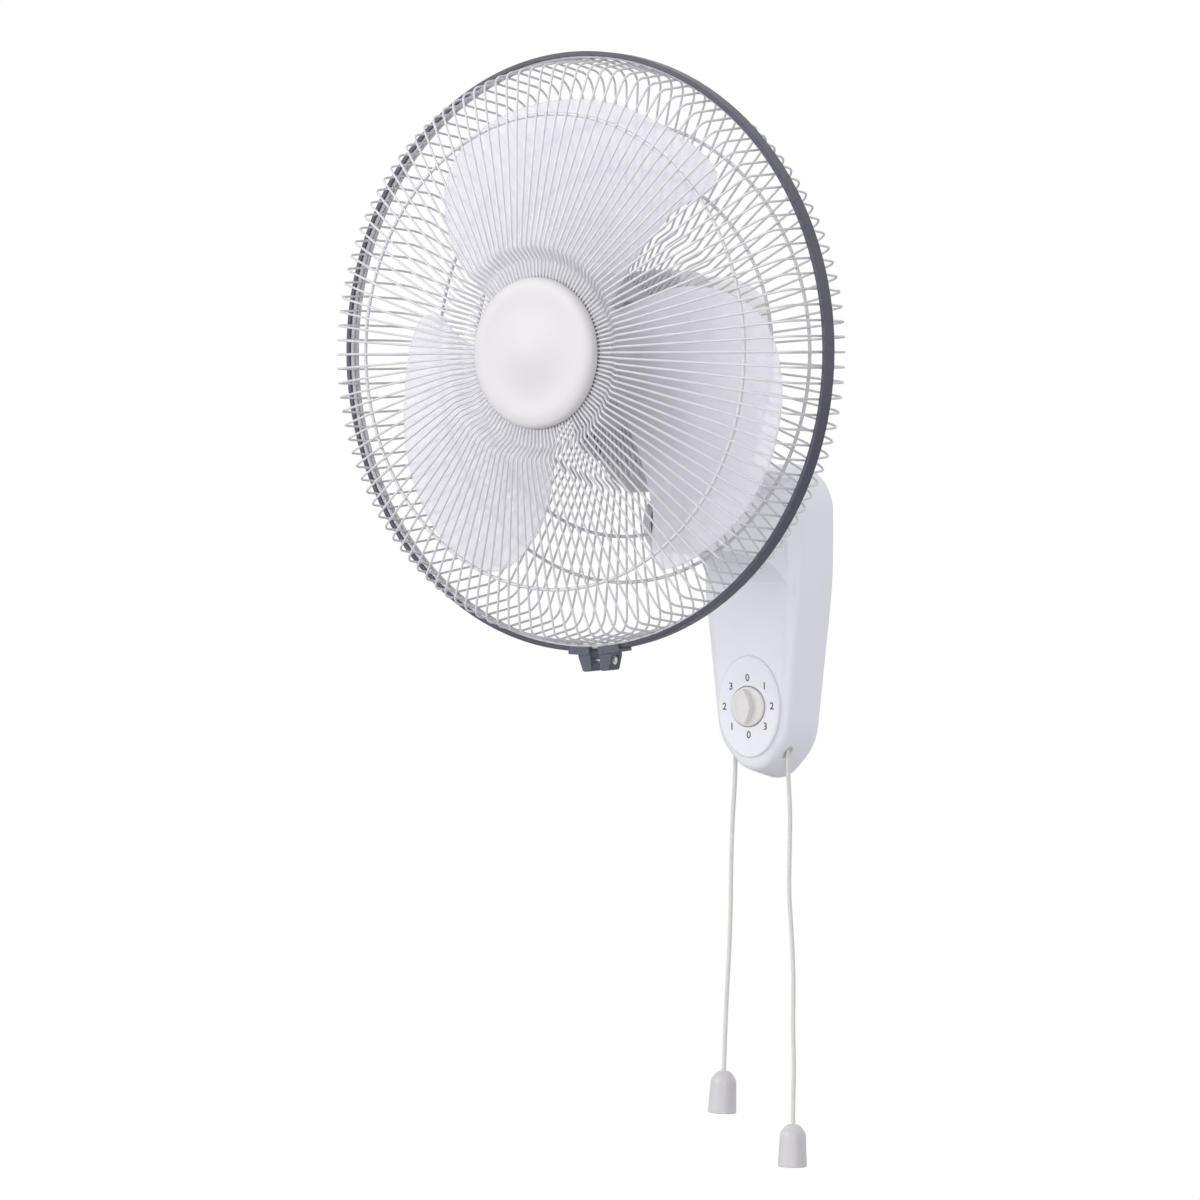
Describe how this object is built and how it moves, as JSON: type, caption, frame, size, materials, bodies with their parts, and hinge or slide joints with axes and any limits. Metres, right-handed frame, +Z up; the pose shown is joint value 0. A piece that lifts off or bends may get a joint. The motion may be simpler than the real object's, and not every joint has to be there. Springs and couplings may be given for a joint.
{
  "type": "wall mounted oscillating fan",
  "caption": "Wall mounted fan: wire guards and three-blade propeller on a nodding, swinging motor head above a slim base with dial and two pull cords.",
  "frame": {"origin": "centre of the four wall screws, on the wall plane", "axes": "+Z up along the wall; -Y out of the wall into the room, +Y into the wall; +X to the right as seen from the room"},
  "size_m": [0.44, 0.3274, 0.8379],
  "materials": {
    "wire_white": "gloss",
    "ring_grey": "satin",
    "clip_dark": "satin",
    "zinc_steel": "satin",
    "cap_white": "gloss",
    "blade_plastic": "gloss",
    "stack_steel": "matte",
    "copper_winding": "matte",
    "bush_brass": "satin",
    "cast_aluminium": "matte",
    "cover_grey": "satin",
    "cover_white": "satin",
    "neck_grey": "satin",
    "washer_nylon": "matte",
    "base_white": "satin",
    "grommet_rubber": "matte",
    "switch_black": "matte",
    "eyelet_grey": "satin",
    "cord_white": "matte",
    "pull_grey": "satin"
  },
  "bodies": {
    "base": {"base_housing": "base_white", "base_rear_cover": "base_white", "wall_plate": "zinc_steel", "lock_screw": "zinc_steel", "rear_cover_screws": "zinc_steel", "arm_bracket": "zinc_steel", "tilt_bolt": "zinc_steel", "tilt_washers": "washer_nylon", "speed_switch": "switch_black", "swing_switch": "switch_black", "run_capacitor": "switch_black", "terminal_block": "washer_nylon", "cable_grommet": "grommet_rubber", "cord_eyelets": "eyelet_grey"},
    "neck": {"tilt_neck": "neck_grey", "swing_pin": "zinc_steel", "pin_washers": "washer_nylon", "swing_drive_arm": "zinc_steel", "pin_nut": "zinc_steel"},
    "head": {"cap_retainer": "zinc_steel", "cap_screw": "zinc_steel", "clip_left": "clip_dark", "clip_right": "clip_dark", "clip_screw": "zinc_steel", "front_cap": "cap_white", "front_rings": "wire_white", "front_wires": "wire_white", "guard_hub_plate": "wire_white", "guard_nut": "clip_dark", "guard_ring": "ring_grey", "motor_bushes": "bush_brass", "motor_front_bracket": "cast_aluminium", "motor_front_cover": "cover_grey", "motor_rear_bracket": "cast_aluminium", "motor_rear_cover": "cover_white", "motor_tie_bolts": "zinc_steel", "motor_windings": "copper_winding", "neck_housing": "cover_grey", "rear_rings": "wire_white", "rear_wires": "wire_white", "stator_stack": "stack_steel", "swing_bush": "bush_brass", "swing_motor": "zinc_steel", "swing_yoke": "cast_aluminium", "yoke_screws": "zinc_steel"},
    "rotor": {"propeller": "blade_plastic", "spinner_nut": "clip_dark", "motor_shaft": "zinc_steel", "rotor_core": "stack_steel"},
    "crank": {"crank_disc": "clip_dark"},
    "knob": {"speed_knob": "base_white", "switch_spindle": "zinc_steel", "ratchet_wheel": "washer_nylon"},
    "speed_cord_set": {"speed_slider": "washer_nylon", "speed_cord": "cord_white", "speed_pull": "pull_grey"},
    "swing_cord_set": {"swing_slider": "washer_nylon", "swing_cord": "cord_white", "swing_pull": "pull_grey"}
  },
  "joints": [
    {"name": "tilt", "type": "hinge", "parent": "base", "child": "neck", "pos_m": [0, -0.12796, 0.07005], "axis": [1, 0, 0], "range_deg": [-8, 25]},
    {"name": "swing", "type": "hinge", "parent": "neck", "child": "head", "pos_m": [0, -0.13743, 0.199], "axis": [0, -0.0732, 0.9973], "range_deg": [-33, 33]},
    {"name": "blade_spin", "type": "hinge", "parent": "head", "child": "rotor", "pos_m": [0, -0.26, 0.19], "axis": [0, -0.9973, -0.0732], "continuous": true},
    {"name": "swing_crank", "type": "hinge", "parent": "head", "child": "crank", "pos_m": [0, -0.16835, 0.19673], "axis": [0, -0.0732, 0.9973], "range_deg": [-103, 103]},
    {"name": "speed_dial", "type": "hinge", "parent": "base", "child": "knob", "pos_m": [0, -0.03811, -0.06894], "axis": [0, -0.9991, -0.0419], "continuous": true},
    {"name": "speed_pull", "type": "slide", "parent": "base", "child": "speed_cord_set", "axis": [0, 0, -1], "range_m": [0, 0.015], "stiffness_N_per_m": 300, "springref_m": -0.01},
    {"name": "swing_pull", "type": "slide", "parent": "base", "child": "swing_cord_set", "axis": [0, 0, -1], "range_m": [0, 0.015], "stiffness_N_per_m": 300, "springref_m": -0.01}
  ],
  "couplings": [
    {"joint": "swing_crank", "follows": "swing", "ratio": -3.12}
  ]
}
